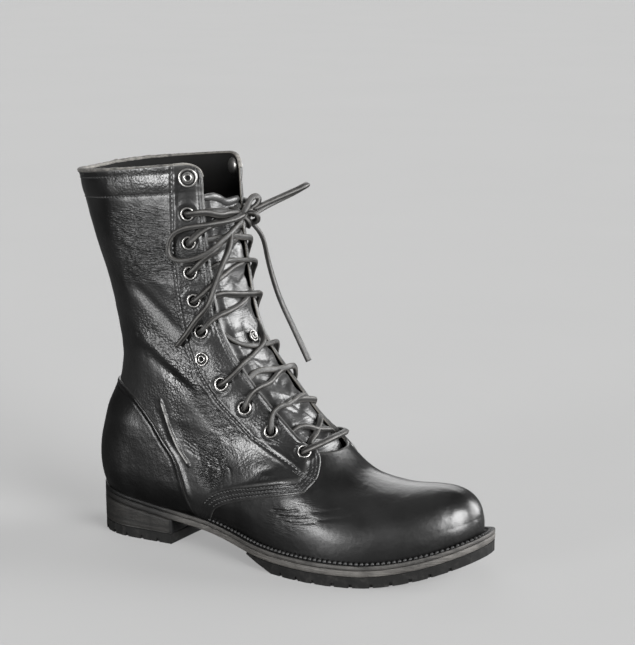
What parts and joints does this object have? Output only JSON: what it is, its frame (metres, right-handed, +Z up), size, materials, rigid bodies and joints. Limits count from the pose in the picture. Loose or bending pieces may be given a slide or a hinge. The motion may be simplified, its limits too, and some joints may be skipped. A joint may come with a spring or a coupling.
{
  "type": "motorcycle boot",
  "caption": "Tall lace-up leather motorcycle boot with an outside heel counter, welted sole and low stacked heel, standing empty.",
  "frame": {"origin": "middle of the boot's footprint on the floor", "axes": "+X to the toe, +Y to the wearer's left (the inner side of this right boot), +Z up"},
  "size_m": [0.3183, 0.1215, 0.2707],
  "materials": {
    "black_leather": "waxed and creased",
    "sole_leather": "matt worn edge",
    "insole_leather": "matt",
    "black_rubber": "matt",
    "dark_nickel": "dark nickel plate",
    "lace_leather": "waxed"
  },
  "bodies": {
    "root": {"outsole": "black_rubber", "midsole": "sole_leather", "welt": "sole_leather", "heel_stack": "sole_leather", "heel_toplift": "black_rubber", "insole": "insole_leather", "upper": "black_leather", "tongue": "black_leather", "heel_counter": "black_leather", "eyelet_outer_1": "dark_nickel", "eyelet_outer_2": "dark_nickel", "eyelet_outer_3": "dark_nickel", "eyelet_outer_4": "dark_nickel", "eyelet_outer_5": "dark_nickel", "eyelet_outer_6": "dark_nickel", "eyelet_outer_7": "dark_nickel", "eyelet_outer_8": "dark_nickel", "eyelet_outer_9": "dark_nickel", "snap_socket_outer": "dark_nickel", "snap_cap_outer": "dark_nickel", "ring_stud_outer": "dark_nickel", "eyelet_inner_1": "dark_nickel", "eyelet_inner_2": "dark_nickel", "eyelet_inner_3": "dark_nickel", "eyelet_inner_4": "dark_nickel", "eyelet_inner_5": "dark_nickel", "eyelet_inner_6": "dark_nickel", "eyelet_inner_7": "dark_nickel", "eyelet_inner_8": "dark_nickel", "eyelet_inner_9": "dark_nickel", "snap_socket_inner": "dark_nickel", "snap_cap_inner": "dark_nickel", "ring_stud_inner": "dark_nickel", "ring_stud_tongue": "dark_nickel", "lace_cross_1": "lace_leather", "lace_cross_2": "lace_leather", "lace_cross_3": "lace_leather", "lace_cross_4": "lace_leather", "lace_cross_5": "lace_leather", "lace_cross_6": "lace_leather", "lace_cross_7": "lace_leather", "lace_cross_8": "lace_leather", "lace_bar": "lace_leather", "lace_lead_outer": "lace_leather", "lace_lead_inner": "lace_leather", "lace_knot": "lace_leather", "lace_loop_outer": "lace_leather", "lace_loop_inner": "lace_leather", "lace_end_outer": "lace_leather", "lace_end_inner": "lace_leather"}
  },
  "joints": []
}
